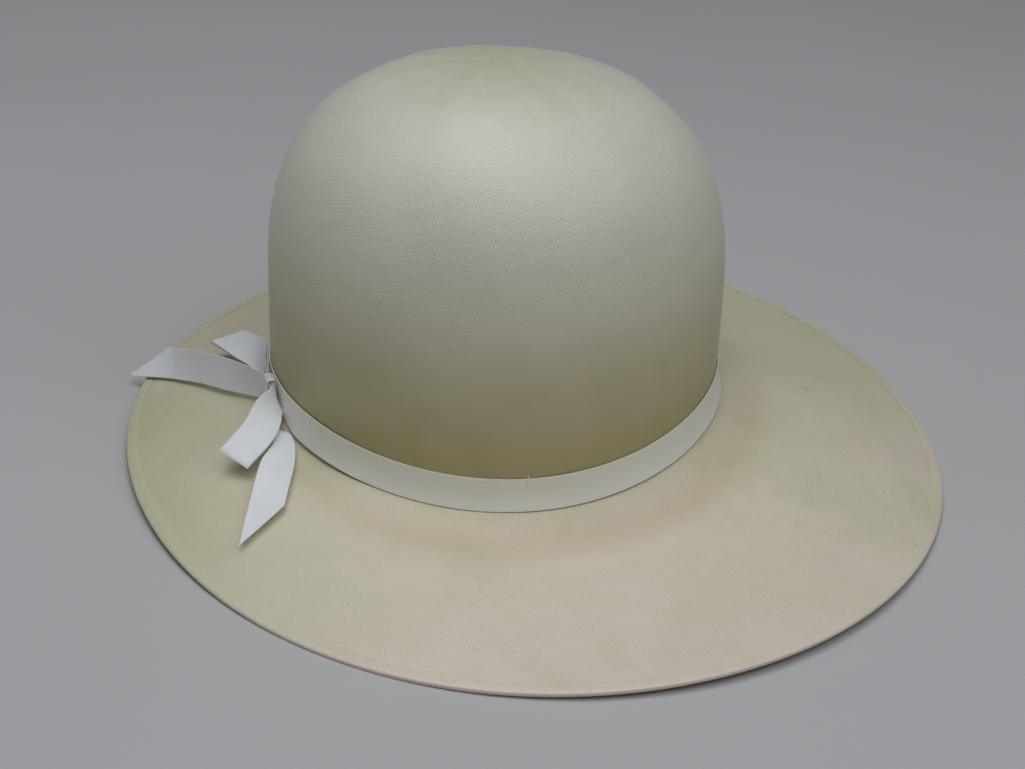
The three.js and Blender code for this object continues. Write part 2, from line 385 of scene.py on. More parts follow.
def strand_counts(nodes, distance):
    """The size of the ring of weave at each distance, which changes in steps."""
    ramp = nodes.add("ValToRGB", {"Fac": nodes.math("DIVIDE", distance, LONGEST_MERIDIAN)})
    ramp.color_ramp.interpolation = "CONSTANT"
    elements = ramp.color_ramp.elements
    starts = [k * RING_SPACING for k in range(9)]
    starts += [MERIDIAN_BREAK + k * RING_SPACING for k in range(12)]
    while len(elements) < len(starts):
        elements.new(0.5)
    for element, start in zip(elements, starts):
        element.position = start / LONGEST_MERIDIAN
        share = ring_share(start + RING_SPACING / 2) / 3
        element.color = (share, share, share, 1)
    return nodes.times(ramp.outputs["Color"], 3.0)


def weave(nodes):
    """The heights and tones of strands that cross all over the hat, and the way from the tip."""
    uv = nodes.add("SeparateXYZ", {"Vector": nodes.add("UVMap", uv_map="weave").outputs[0]})
    turn, metres = uv.outputs[0], uv.outputs[1]
    distance = nodes.times(metres, 1 / MM)
    size = strand_counts(nodes, distance)
    girth = 2 * math.pi * (HEAD_HALF_WIDTH + HEAD_HALF_LENGTH) / 2 / STRAND
    wobble = nodes.noise(nodes.place(), 35.0, 2.0)
    wobble = nodes.times(nodes.math("SUBTRACT", wobble, 0.5), 1.6)
    phases = []
    for across, down in (
        (math.sin(STRAND_SLOPE), math.cos(STRAND_SLOPE)),
        (math.cos(STRAND_SLOPE), -math.sin(STRAND_SLOPE)),
    ):
        count = nodes.math("ROUND", nodes.times(size, girth * across))
        phase = nodes.total(
            nodes.times(count, turn), nodes.times(distance, down / STRAND), wobble
        )
        phases.append(phase)
    strips = []
    for phase in phases:
        within = nodes.math("SUBTRACT", nodes.math("FRACT", phase), 0.5)
        strips.append(nodes.math("COSINE", nodes.times(within, math.pi)))
    cells = [nodes.math("FLOOR", phase) for phase in phases]
    parity = nodes.math("PINGPONG", nodes.total(*cells), 1.0)
    # A strand on top is round across and almost level along; the one under it shows at its sides
    steep, gentle = 1.1, 0.35
    powers = [
        nodes.scaled(parity, 0, 1, steep, gentle),
        nodes.scaled(parity, 0, 1, gentle, steep),
    ]
    height = nodes.times(
        nodes.math("POWER", strips[0], powers[0]), nodes.math("POWER", strips[1], powers[1])
    )
    tones = [nodes.chance(cell, seed) for cell, seed in zip(cells, (3.3, 71.7))]
    tone = nodes.total(
        nodes.times(tones[0], nodes.math("SUBTRACT", 1.0, parity)),
        nodes.times(tones[1], parity),
    )
    return height, tone, distance


CREAM = linear(229, 219, 195)
GREENISH = linear(204, 204, 164)
PINKISH = linear(236, 219, 205)
CROWN_GREEN = linear(208, 211, 185)
HIGHLIGHT_PALE = linear(226, 224, 216)
BOUNCE_SHADE_GOLD = linear(162, 148, 70)
VALLEY_SHADE_TAN = linear(194, 166, 112)
TIP_GREEN = linear(190, 192, 150)
STAIN = linear(166, 150, 100)

# Small darker marks on the front of the brim: distances across, back and up, in millimetres
MARKS = np.array([[-22, -116, 3.6], [-4, -145, -3.6], [-50, -103, 2.1]])


def straw_material(name, bump=0.05):
    nodes = Nodes(name)
    height, tone, distance = weave(nodes)
    spot = nodes.add("SeparateXYZ", {"Vector": nodes.place()}).outputs
    patches = nodes.scaled(nodes.noise(nodes.place(), 14.0, 3.0, 0.6), 0.42, 0.66)
    blush = nodes.scaled(nodes.noise(nodes.place(turn=(1, 2, 0)), 9.0, 2.0), 0.45, 0.7)
    fine = nodes.noise(nodes.place(turn=(0, 1, 1)), 60.0, 4.0, 0.65)
    spots = nodes.noise(nodes.place(turn=(2, 0, 1)), 26.0, 1.0)
    colour = nodes.mix(nodes.times(patches, 0.4), CREAM, GREENISH)
    # Painted light and shade: the straw is painted lighter and pinker towards -X, and darker and
    # greener towards +X and towards the back
    colour = nodes.mix(nodes.scaled(spot[1], 0.06, 0.17, 0.0, 0.55), colour, GREENISH)
    colour = nodes.mix(nodes.scaled(spot[0], -0.12, 0.12, 0.0, 0.7), colour, GREENISH)
    colour = nodes.mix(nodes.scaled(spot[0], -0.18, -0.09, 0.5, 0.0), colour, PINKISH)
    colour = nodes.mix(nodes.times(blush, 0.35), colour, PINKISH)
    colour = nodes.mix(nodes.scaled(fine, 0.5, 0.75, 0, 0.3), colour, GREENISH)
    # Painted bounce light and shade: the crown is painted darker and more golden low down, where
    # the crown and the brim meet
    above = nodes.scaled(distance, MERIDIAN_BREAK - 90, MERIDIAN_BREAK - 15, 0.0, 0.8)
    # Painted shade: the brim is painted darker and tan in a ring along its valley, less so towards
    # +X, and right next to the crown's foot
    wavy = nodes.total(distance, nodes.scaled(fine, 0.3, 0.7, -2.0, 2.0))
    from_valley = nodes.math("ABSOLUTE", nodes.math("SUBTRACT", wavy, MERIDIAN_BREAK + 20))
    valley = nodes.scaled(from_valley, 1.0, 11.0, 0.26, 0.0)
    valley = nodes.times(valley, nodes.scaled(spot[0], -0.1, 0.0, 1.0, 0.3))
    below = nodes.total(valley, nodes.scaled(wavy, MERIDIAN_BREAK, MERIDIAN_BREAK + 24, 0.14, 0.0))
    on_crown = nodes.math("LESS_THAN", distance, MERIDIAN_BREAK)
    colour = nodes.mix(nodes.times(on_crown, 0.55), colour, CROWN_GREEN)
    uneven = nodes.scaled(patches, 0.0, 1.0, 0.85, 1.1)
    on_brim = nodes.math("SUBTRACT", 1.0, on_crown)
    colour = nodes.mix(nodes.times(nodes.times(above, on_crown), uneven), colour, BOUNCE_SHADE_GOLD)
    # Painted shade: the crown is also painted deeper in colour low down at its front and on its -X
    # side
    low = nodes.times(on_crown, nodes.scaled(spot[2], 0.09, 0.13, 1.0, 0.0))
    at_front = nodes.scaled(spot[1], -0.075, -0.025, 0.18, 0.0)
    colour = nodes.mix(nodes.times(at_front, low), colour, BOUNCE_SHADE_GOLD)
    foot = nodes.times(on_crown, nodes.scaled(spot[2], 0.06, 0.1, 1.0, 0.0))
    at_side = nodes.scaled(spot[0], -0.086, -0.055, 0.2, 0.0)
    colour = nodes.mix(nodes.times(at_side, foot), colour, BOUNCE_SHADE_GOLD)
    colour = nodes.mix(nodes.times(nodes.times(below, on_brim), uneven), colour, VALLEY_SHADE_TAN)
    # Painted highlight: the upper crown is painted paler and less yellow
    colour = nodes.mix(nodes.scaled(spot[2], 0.08, 0.14, 0.0, 0.5), colour, HIGHLIGHT_PALE)
    colour = nodes.mix(nodes.scaled(distance, 10.0, 50.0, 0.6, 0.0), colour, TIP_GREEN)
    colour = nodes.mix(nodes.scaled(spots, 0.72, 0.8, 0, 0.15), colour, STAIN)
    for mark in MARKS:
        away = nodes.add(
            "VectorMath",
            {0: nodes.place(), 1: tuple((mark + HEAD_CENTRE) * MM)},
            operation="DISTANCE",
        ).outputs["Value"]
        away = nodes.total(away, nodes.scaled(fine, 0.3, 0.7, -MM, MM))
        colour = nodes.mix(nodes.scaled(away, 0.8 * MM, 3.5 * MM, 0.4, 0.0), colour, STAIN)
    strand = nodes.scaled(tone, 0, 1, 0.975, 1.015)
    groove = nodes.scaled(height, 0.0, 0.7, 0.935, 1.0)
    clear = nodes.scaled(nodes.noise(nodes.place(turn=(1, 0, 2)), 45.0, 2.0), 0.35, 0.65, 0.25, 1.0)
    weave_shade = nodes.math("SUBTRACT", nodes.times(strand, groove), 1.0)
    shade = nodes.math("ADD", nodes.times(weave_shade, clear), 1.0)
    grey = nodes.add("CombineColor", {"Red": shade, "Green": shade, "Blue": shade}).outputs[0]
    colour = nodes.mix(1.0, colour, grey, "MULTIPLY")
    normal = nodes.bump(height, bump * MM, 1.0)
    ripples = nodes.noise(nodes.place((1, 1, 2.2)), 260.0, 3.0)
    normal = nodes.bump(ripples, 0.16 * MM, 0.8, normal)
    lumps = nodes.noise(nodes.place(), 75.0, 2.0)
    normal = nodes.bump(lumps, 0.35 * MM, 0.5, normal)
    slow = nodes.noise(nodes.place(), 22.0, 2.0)
    normal = nodes.bump(slow, 1.2 * MM, 0.5, normal)
    return nodes.set(
        base_color=colour,
        roughness=nodes.scaled(tone, 0, 1, 0.44, 0.54),
        normal=normal,
        specular_ior_level=0.95,
        sheen_weight=0.2,
        sheen_roughness=0.5,
        sheen_tint=linear(240, 240, 236),
    )


# ---- The straw body ----


def angle_from_bow(theta):
    """How far round the crown a place is from the middle of the bow, either way."""
    return np.abs((theta - BOW_ANGLE + math.pi) % (2 * math.pi) - math.pi)


def relief(distance, theta, on_brim):
    """How far the straw stands proud of its smooth shape, in millimetres along its normal."""
    reach = distance - MERIDIAN_BREAK
    past_ridge = np.clip(reach - RIDGE_END, 0, None)
    ridge = RIDGE_HEIGHT * (1 - np.exp(-reach / 2.5)) * np.exp(-((past_ridge / 4.5) ** 2))
    from_valley = reach - VALLEY_OUT - 1.5 * np.sin(3 * theta)
    valley = -VALLEY_DEPTH * np.exp(-((from_valley / VALLEY_WIDTH) ** 2))
    from_bow = angle_from_bow(theta)
    near_side = np.clip(0.15 + 0.85 * np.cos(theta + math.pi / 2), 0, 1)
    roll = np.where(on_brim, ridge + valley, 0) * near_side * np.clip((from_bow - 0.45) / 0.3, 0, 1)
    rings = np.cos(distance * 2 * math.pi / KNOT_SPACING)
    knot = KNOT_HEIGHT * rings * np.exp(-((distance / KNOT_REACH) ** 2))
    dents = 0
    for waves, length, size, turn in (
        (3, 61, 0.35, 0.4),
        (5, 47, 0.28, 2.1),
        (8, 35, 0.2, 4.0),
        (13, 27, 0.12, 5.2),
    ):
        dents = dents + size * np.sin(waves * theta + turn) * np.sin(distance / length * 2 + turn)
    # The dents are half as deep where the sweatband lies behind the straw
    from_lining = np.abs(reach + SWEATBAND_WIDTH / 2)
    dents = dents * np.clip(from_lining / SWEATBAND_WIDTH, 0.5, 1)
    far = np.clip(distance / 40, 0, 1)
    edge = np.clip((LONGEST - distance - HEM_WIDTH) / 12, 0, 1)
    return roll + knot + dents * far * edge


def meridian():
    """The rows of the straw body, each a function of theta and depth, spaced evenly."""
    angles = np.linspace(0, 1, 4000)
    shares = np.concatenate([angles, 1 + angles[1:]])
    side = np.full_like(shares, -math.pi / 2)
    points = body_point(shares, side, 0 * side)
    lengths = np.r_[0, np.cumsum(np.linalg.norm(np.diff(points, axis=0), axis=1))]
    count = int(lengths[-1] / ROW_SPACING)
    even = np.linspace(0, lengths[-1], count + 1)
    rows = np.interp(even, lengths, shares)
    return rows, even, np.interp(1, shares, lengths)


def body_point(row, theta, depth):
    """row goes from 0 at the tip to 1 at the break line and 2 at the edge inside the hem."""
    turn = np.clip(row, 0, 1) * math.pi / 2
    height = np.cos(turn) ** (2 / CROWN_SHOULDER)
    crown = crown_point(height, theta, depth)
    # The CAD wire has flat facets, so the straw stops three gaps short of it instead of one
    in_hem = 1 - (2 * WIRE_RADIUS + 4 * GAP + HEM_WALL) / brim_width(theta)
    share = np.clip(row - 1, 0, 1) * in_hem
    brim = brim_point(share, theta, depth)
    return np.where((row <= 1)[..., None], crown, brim)


ROWS, DISTANCES, MERIDIAN_BREAK = meridian()
LONGEST = DISTANCES[-1]


def straw_body():
    theta = theta_steps()[:, None]
    row = ROWS[None, :] + 0 * theta
    angle = theta + 0 * row
    distance = DISTANCES[None, :] + 0 * theta
    outer = body_point(row, angle, 0 * row)
    inner = body_point(row, angle, STRAW + 0 * row)
    along = np.gradient(outer, axis=1)
    round_hat = np.roll(outer, -1, axis=0) - np.roll(outer, 1, axis=0)
    normal = np.cross(along, round_hat)
    normal[:, 0] = (0, 0, 1)
    normal /= np.linalg.norm(normal, axis=-1, keepdims=True)
    normal *= np.sign(normal[:, 1:2, 2:3])
    proud = relief(distance, angle, row > 1)[..., None] * normal
    sections = np.concatenate([outer + proud, (inner + proud)[:, ::-1]], axis=1)
    down = np.r_[DISTANCES, DISTANCES[::-1], DISTANCES[0]] * MM
    turns = np.linspace(0, 1, AROUND + 1)
    coords = np.stack(np.meshgrid(turns, down, indexing="ij"), -1)
    return tidy(skin("straw_weave", sections, coords, True), 60)


body = straw_body()
body.data.materials.append(straw_material("woven_straw"))
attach(body, "root")
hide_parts("straw_body")


# ---- The turned hem, its wire and its stitches ----


def rounded(points, radius, steps=3):
    """Rounds the corners of a closed outline of [out, rise] points."""
    points = np.asarray(points, float)
    result = []
    for before, at, after in zip(np.roll(points, 1, 0), points, np.roll(points, -1, 0)):
        arms = []
        for other in (before, after):
            arm = other - at
            length = np.linalg.norm(arm)
            arms.append(at + arm / length * min(radius, 0.45 * length))
        for k in range(steps + 1):
            t = k / steps
            result.append((1 - t) ** 2 * arms[0] + 2 * t * (1 - t) * at + t * t * arms[1])
    return np.array(result)


def hem_place(theta, out, over):
    """The hem's inner edges are drawn down a little at each stitch."""
    inner = np.clip((-out - 3.5) / 2, 0, 1)
    pull = 0.03 * inner * np.sin(theta * HEM_STITCHES / 2) * np.sign(over + STRAW / 2)
    return edge_point(theta, out, over - pull)


hem_top = 0.5
hem_under = -STRAW - GAP - HEM_WALL
hem_section = rounded(
    [
        [-HEM_WIDTH, hem_under + 0.1],
        [-3.4, hem_under],
        [-1.2, hem_under],
        [-0.3, -1.6],
        [0, -STRAW / 2],
        [-0.3, 0.2],
        [-1.2, hem_top],
        [-3.4, hem_top - 0.05],
        [-HEM_WIDTH, 0.24],
        [-HEM_WIDTH, 0.1],
        [-HEM_WALL, 0.2],
        [-HEM_WALL, -STRAW - GAP],
        [-HEM_WIDTH, -STRAW - 0.12],
    ],
    0.3,
)
hem = ring_piece("turned_hem", hem_section, hem_place, 2 * AROUND, LONGEST)
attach(hem, "root")
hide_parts("brim_hem")


def stitch_row(name, count, path, length, radius, sides=6, steps=6):
    """Separate stitches along a ring. path(theta) gives a point, and each dips at its ends."""
    all_points, all_faces, corners = [], [], []
    turn = np.arange(sides) * 2 * math.pi / sides
    for k in range(count):
        middle = 2 * math.pi * (k + 0.5) / count
        theta = middle + np.linspace(-0.5, 0.5, steps + 1) * length * 2 * math.pi / count
        line, up = path(theta)
        ahead = np.gradient(line, axis=0)
        ahead /= np.linalg.norm(ahead, axis=-1, keepdims=True)
        side = np.cross(ahead, up)
        ends = np.abs(np.linspace(-1, 1, steps + 1)) ** 3
        line = line - up * (ends * radius * 1.5)[:, None]
        thick = radius * (1 - 0.35 * ends)
        ring = line[:, None] + thick[:, None, None] * (
            np.cos(turn)[None, :, None] * side[:, None] + np.sin(turn)[None, :, None] * up[:, None]
        )
        start = len(all_points) * ring.shape[0] * sides
        all_points.append(ring.reshape(-1, 3))
        for i in range(steps):
            for j in range(sides):
                quad = [(i, j), (i + 1, j), (i + 1, j + 1), (i, j + 1)]
                all_faces.append([start + a * sides + b % sides for a, b in quad])
                corners.append([((a / steps + k) * 0.002, b / sides * 0.001) for a, b in quad])
    piece = make_object(name, np.vstack(all_points), np.array(all_faces), corners)
    work = bmesh.new()
    work.from_mesh(piece.data)
    bmesh.ops.holes_fill(work, edges=work.edges, sides=sides)
    work.to_mesh(piece.data)
    work.free()
    return tidy(piece, 60)


def hem_stitch_path(theta):
    ones = 0 * theta
    line = edge_point(theta, 0.9 - HEM_WIDTH + ones, 0.3 + ones)
    above = edge_point(theta, 0.9 - HEM_WIDTH + ones, 1.3 + ones)
    up = above - line
    return line, up / np.linalg.norm(up, axis=-1, keepdims=True)


hem_stitches = stitch_row("hem_stitches", HEM_STITCHES, hem_stitch_path, 0.45, 0.13)
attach(hem_stitches, "root")
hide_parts("brim_stitching")

# ---- The ribbon band ----


def band_section():
    rise = np.linspace(BAND_START, RIBBON_WIDTH, ACROSS_RIBBON + 1)
    inner = np.stack([0 * rise + GAP, rise], -1)
    outer = inner[::-1] + (BAND_THICKNESS, 0)
    return rounded(np.vstack([inner, outer]), 0.2, 2)


def band_place(theta, out, rise):
    """The ribbon leans out to its lower edge, which turns over the brim, but not at the bow."""
    down = 1 - np.clip(rise / RIBBON_WIDTH, 0, 1)
    free = np.clip((angle_from_bow(theta) - 0.08) / 0.2, 0, 1)
    lean = BAND_LEAN * down**1.2 + BAND_FLARE * down**6 - BAND_HOLLOW * np.sin(down * math.pi)
    return wall_point(theta, out + lean * free, rise - BAND_TUCK * down**6 * free)


band = ring_piece("ribbon_band", band_section(), band_place)
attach(band, "root")
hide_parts("hat_band")

# ---- The bow ----


def smooth_through(points, steps=40):
    """Points on a centripetal Catmull-Rom curve, steps of them between each two given ones."""
    points = np.asarray(points, float)
    ends = [2 * points[0] - points[1], *points, 2 * points[-1] - points[-2]]
    line = []
    for p0, p1, p2, p3 in zip(ends, ends[1:], ends[2:], ends[3:]):
        gaps = [math.sqrt(np.linalg.norm(b - a)) for a, b in ((p0, p1), (p1, p2), (p2, p3))]
        g0, g1, g2 = (max(gap, 1e-4) for gap in gaps)
        leave = (p1 - p0) / g0 - (p2 - p0) / (g0 + g1) + (p2 - p1) / g1
        arrive = (p2 - p1) / g1 - (p3 - p1) / (g1 + g2) + (p3 - p2) / g2
        leave, arrive = leave * g1, arrive * g1
        t = np.linspace(0, 1, steps, endpoint=False)[:, None]
        square, cube = t * t, t**3
        line.append(
            (2 * cube - 3 * square + 1) * p1
            + (cube - 2 * square + t) * leave
            + (3 * square - 2 * cube) * p2
            + (cube - square) * arrive
        )
    return np.vstack([*line, points[-1:]])


class Course:
    """The way a ribbon runs: its middle line, its upper direction and its width."""

    def __init__(self, stations):
        self.line = smooth_through([at for at, _, _ in stations])
        ups = [np.array(up) / np.linalg.norm(up) * share for _, up, share in stations]
        self.up = smooth_through(ups)
        steps = np.linalg.norm(np.diff(self.line, axis=0), axis=1)
        self.at = np.r_[0, np.cumsum(steps)]
        self.length = self.at[-1]
        self.ahead = np.gradient(self.line, self.at, axis=0)

    def read(self, table, at):
        return np.stack([np.interp(at, self.at, table[:, k]) for k in range(3)], -1)

    def point(self, at, across, over):
        """at is in millimetres along, across is -0.5 to 0.5, over is off the ribbon's middle."""
        ahead = self.read(self.ahead, at)
        ahead /= np.linalg.norm(ahead, axis=-1, keepdims=True)
        up = self.read(self.up, at)
        width = np.linalg.norm(up, axis=-1, keepdims=True) * RIBBON_WIDTH
        up = up - (up * ahead).sum(-1, keepdims=True) * ahead
        up /= np.linalg.norm(up, axis=-1, keepdims=True)
        face = np.cross(ahead, up)
        over = np.asarray(over)[..., None]
        return self.read(self.line, at) + up * across[..., None] * width + face * over


def ribbon_piece(name, surface, length, steps, thickness=0.4):
    """A thin closed ribbon. surface(along, across, over) places its points, along from 0 to 1."""
    across = np.linspace(-0.5, 0.5, ACROSS_RIBBON + 1)
    edge = 0.5 - 0.012
    top = [(a, thickness / 2) for a in np.clip(across, -edge, edge)]
    under = [(a, -thickness / 2) for a in np.clip(across[::-1], -edge, edge)]
    section = np.array([*top, (0.5, 0), *under, (-0.5, 0)])
    along = np.linspace(0, 1, steps + 1)[:, None]
    spots = np.broadcast_arrays(along, section[:, 0], section[:, 1])
    sections = surface(*spots)
    closed = np.vstack([section, section[:1]])
    spread = closed[:, 0] * RIBBON_WIDTH
    coords = np.stack(np.meshgrid(along[:, 0] * length * MM, spread * MM, indexing="ij"), -1)
    piece = skin(name, sections, coords, False)
    return tidy(piece, 50)


wrap_back = GAP + RIBBON + WRAP_CLEARANCE
wrap_front = wrap_back + 3 * RIBBON + LOOP_THICKNESS + 3 * GAP
loop_layer = wrap_back + RIBBON + GAP + LOOP_THICKNESS / 2
tail_layer = wrap_front - RIBBON - GAP - RIBBON / 2
UPRIGHT = [0, 0, 1]

bow_middle = wall_point(np.array(BOW_ANGLE), 0.0, RIBBON_WIDTH / 2)
bow_out = outward(np.array(BOW_ANGLE))
bow_along = np.array([bow_out[1], -bow_out[0], 0])


def bow_point(along, out, over):
    """A point by its distances along the band towards +X, out from the crown, and up."""
    along, out, over = np.broadcast_arrays(along, out, over)
    level = bow_middle + along[..., None] * bow_along + out[..., None] * bow_out
    return level + over[..., None] * np.array(UPRIGHT)


def through_wrap(side, out, over=0, share=GATHER):
    reaches = (GAP, WRAP_WIDTH * 0.5, WRAP_WIDTH * 0.62)
    return [(bow_point(side * reach, out, over), UPRIGHT, share) for reach in reaches]


def gathers(at, across):
    """The small pleats of a ribbon that is pressed together inside the wrap."""
    fade = np.exp(-np.clip(at - 4, 0, None) / 7)
    return 0.1 * fade * np.cos(across * 2 * math.pi * 1.5)


def loop_ribbon(name, stations, length_over):
    """A ribbon that runs out, folds over and comes back under itself."""
    course = Course(stations)
    half = LOOP_THICKNESS / 2 - 0.25

    def surface(along, across, over):
        middle = course.length - abs(length_over) / 2 - half
        reach = middle + length_over * across
        share = along * 2
        out = np.where(share <= 1, share, 2 - share)
        fold = math.pi * half / 2 / reach
        scaled = np.clip(out * (1 + fold), 0, None)
        flat = np.minimum(scaled, 1)
        turn = np.clip((scaled - 1) / fold, 0, 1) * math.pi / 2
        lift = half * np.cos(turn) * np.sign(1 - share + 1e-9)
        lift = lift * (0.75 + 0.25 * np.sin(flat * math.pi / 2) ** 2)
        at = reach * flat + half * np.sin(turn)
        ahead_part = over * np.sin(turn)
        lift_part = over * np.cos(turn) * np.sign(1 - share + 1e-9)
        curl = 0.25 * np.sin(flat * math.pi) * (1 - (2 * across) ** 2)
        pleat = gathers(at, across)
        return course.point(at + ahead_part, across, lift + lift_part + curl + pleat)

    return ribbon_piece(name, surface, 2 * course.length, 72), course.length


def tail_ribbon(name, stations, length_over, wave):
    """A single ribbon that ends in a slanting cut."""
    course = Course(stations)

    def surface(along, across, over):
        reach = course.length - abs(length_over) / 2 + length_over * across
        at = along * reach
        curl = wave * np.sin(at / course.length * 2.2 * math.pi) * (0.3 + across)
        cup = 0.3 * (1 - (2 * across) ** 2) * np.clip(at / 20, 0, 1)
        return course.point(at, across, over + curl + cup + 0.6 * gathers(at, across))

    return ribbon_piece(name, surface, course.length, 60), course.length


loop_rear, rear_length = loop_ribbon(
    "ribbon_loop_rear",
    [
        *through_wrap(1, loop_layer),
        ([1, 101.4, 12.4], [0.05, -0.1, 1], 0.9),
        ([13, 102.6, 13], [0.3, -0.35, 0.85], 0.95),
        ([32, 109.5, 8.6], [0.4, -0.8, 0.45], 1),
        ([57, 117.5, 0.4], [0.3, -0.93, 0.2], 1),
    ],
    -REAR_LOOP_SLANT,
)
loop_front, front_length = loop_ribbon(
    "ribbon_loop_front",
    [
        *through_wrap(-1, loop_layer),
        ([-25, 97.8, 12.2], [0.05, 0.35, 0.93], 0.84),
        ([-31, 101.2, 11.4], [0.12, 0.8, 0.55], 0.9),
        ([-41, 105.6, 7.6], [0.4, 0.85, 0.3], 1),
        ([-53, 117, 0.8], [0.55, 0.77, 0.31], 1),
    ],
    0,
)
tail_long, long_length = tail_ribbon(
    "ribbon_tail_long",
    [
        *through_wrap(1, tail_layer),
        ([-4.4, 107.5, 10.2], [-0.1, -0.06, 0.99], 0.95),
        ([9.4, 118, 6.6], [0.18, -0.09, 0.98], 1),
        ([25.6, 128.7, 1.4], [0.26, -0.1, 0.96], 1),
        ([38.1, 136.3, -3.6], [0.45, -0.15, 0.88], 1),
        ([49.6, 143.5, -8.8], [0.6, -0.22, 0.76], 1),
        ([64.5, 160, -15.2], [0.6, -0.25, 0.76], 1),
    ],
    -LONG_TAIL_CUT,
    0.3,
)
tail_front, short_length = tail_ribbon(
    "ribbon_tail_front",
    [
        (bow_point(-GAP, tail_layer, 0), UPRIGHT, GATHER),
        (bow_point(-WRAP_WIDTH * 0.5, tail_layer, FRONT_TAIL_DROP * 0.2), UPRIGHT, 0.8),
        (bow_point(-WRAP_WIDTH * 0.75, tail_layer, FRONT_TAIL_DROP), UPRIGHT, FRONT_TAIL_GATHER),
        ([-26, 100.9, 6.2], [0, 0, 1], 0.45),
        ([-31, 99.6, 4], [0, 0.5, 0.8], 0.45),
        ([-37, 96.2, 3.6], [0.1, 0.9, 0.4], 0.42),
        ([-44, 95.8, 2.3], [0.2, 0.95, 0.05], 0.62),
        ([-58, 99.6, -0.2], [0.15, 0.98, -0.02], 1),
        ([-77, 104.4, -5.2], [0.15, 0.98, -0.05], 1),
        ([-98, 109.8, -12.6], [0.15, 0.98, -0.05], 1),
    ],
    FRONT_TAIL_CUT,
    0.2,
)


def bow_wrap():
    """A ribbon folded to half its width and wound once round the middle of the bow."""
    half_height = GATHER * RIBBON_WIDTH / 2 + GAP + RIBBON / 2
    back, front = wrap_back + RIBBON / 2, wrap_front - RIBBON / 2
    corners = [
        (back, -half_height),
        (front, -half_height),
        (front, half_height),
        (back, half_height),
    ]
    loop = rounded(corners, 1.3, 6)
    middle = loop.mean(axis=0)
    outside = np.linspace(-0.5, 0.47, 7)
    inside = np.linspace(-0.5, 0.45, 4)
    across = np.r_[outside, 0.5, outside[::-1], inside, inside[::-1]]
    thick, slit = 0.23, 0.03
    counts = (len(outside), 1, len(outside), len(inside), len(inside))
    over = np.repeat((thick, 0, -thick, -slit, slit), counts)
    ahead = np.roll(loop, -1, 0) - np.roll(loop, 1, 0)
    normal = np.stack([ahead[:, 1], -ahead[:, 0]], -1)
    normal /= np.linalg.norm(normal, axis=-1, keepdims=True)
    normal *= np.sign(((loop - middle) * normal).sum(-1, keepdims=True))
    upright = loop[:, None] + normal[:, None] * over[None, :, None]
    sections = bow_point(across * WRAP_WIDTH, upright[..., 0], upright[..., 1])
    around = np.r_[0, np.cumsum(np.linalg.norm(ahead, axis=1) / 2)]
    spread = np.r_[across, across[:1]] * WRAP_WIDTH
    coords = np.stack(np.meshgrid(around * MM, spread * MM, indexing="ij"), -1)
    return tidy(skin("ribbon_wrap", sections, coords, True), 50), around[-1]


wrap, wrap_length = bow_wrap()
bow_pieces = [
    (loop_rear, "bow_loop_rear"),
    (loop_front, "bow_loop_front"),
    (tail_long, "bow_tail_long"),
    (tail_front, "bow_tail_front"),
    (wrap, "bow_wrap"),
]
for piece, node in bow_pieces:
    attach(piece, "root")
    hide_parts(node)

# ---- The sweatband, its seam tab and its stitches ----

sweat_out = -STRAW - GAP
sweat_in = sweat_out - SWEATBAND
tab_middle = sweat_in - 2 * GAP - SWEATBAND / 2


def sweat_place(theta, out, rise):
    """The sweatband leans in a little at its top, and waves slightly between its stitches."""
    share = rise / SWEATBAND_WIDTH
    wave = 0.15 * share * np.sin(theta * 9 + 1) + 0.1 * share * np.sin(theta * 17 + 2)
    return wall_point(theta, out - 0.25 * share**2 - wave * 0.5 - 0.1, rise)


rises = np.linspace(0.7, SWEATBAND_WIDTH - 0.2, 8)
sweat_section = np.vstack(
    [
        np.stack([0 * rises + sweat_in + 0.1, rises], -1),
        np.stack([0 * rises + sweat_out - 0.15, rises], -1)[::-1],
    ]
)
sweatband = ring_piece("sweatband_ribbon", rounded(sweat_section, 0.2, 2), sweat_place)
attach(sweatband, "root")
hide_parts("sweatband")


def seam_tab():
    across = np.linspace(-1, 1, 7)
    around = np.r_[across, across[::-1]] * SEAM_TAB_HALF_ANGLE * 0.97
    depth = np.r_[0 * across + 0.3, 0 * across - 0.3]
    rise = np.linspace(1.2, SWEATBAND_WIDTH - 1.2, 13)[:, None]
    pillow = 0.12 * np.sin((rise - 1) / (SWEATBAND_WIDTH - 2) * math.pi)
    out = tab_middle + depth - pillow
    sections = wall_point(math.pi + around + 0 * rise, out, rise + 0 * around)
    closed = np.r_[around, around[:1]] * HEAD_HALF_LENGTH
    coords = np.stack(np.meshgrid(rise[:, 0] * MM, closed * MM, indexing="ij"), -1)
    return tidy(skin("seam_tab", sections, coords, False), 40)


tab = seam_tab()
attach(tab, "root")
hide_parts("sweatband_seam_tab")


def sweat_stitch_path(theta):
    out = sweat_in - 0.1 + 0 * theta
    line = wall_point(theta, out, 2.4)
    inward = -outward(theta)
    return line, inward


sweat_stitches = stitch_row(
    "sweatband_stitches", SWEATBAND_STITCHES, sweat_stitch_path, 0.6, 0.22
)
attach(sweat_stitches, "root")
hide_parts("sweatband_stitching")

# ---- Ribbon, thread and wire materials ----


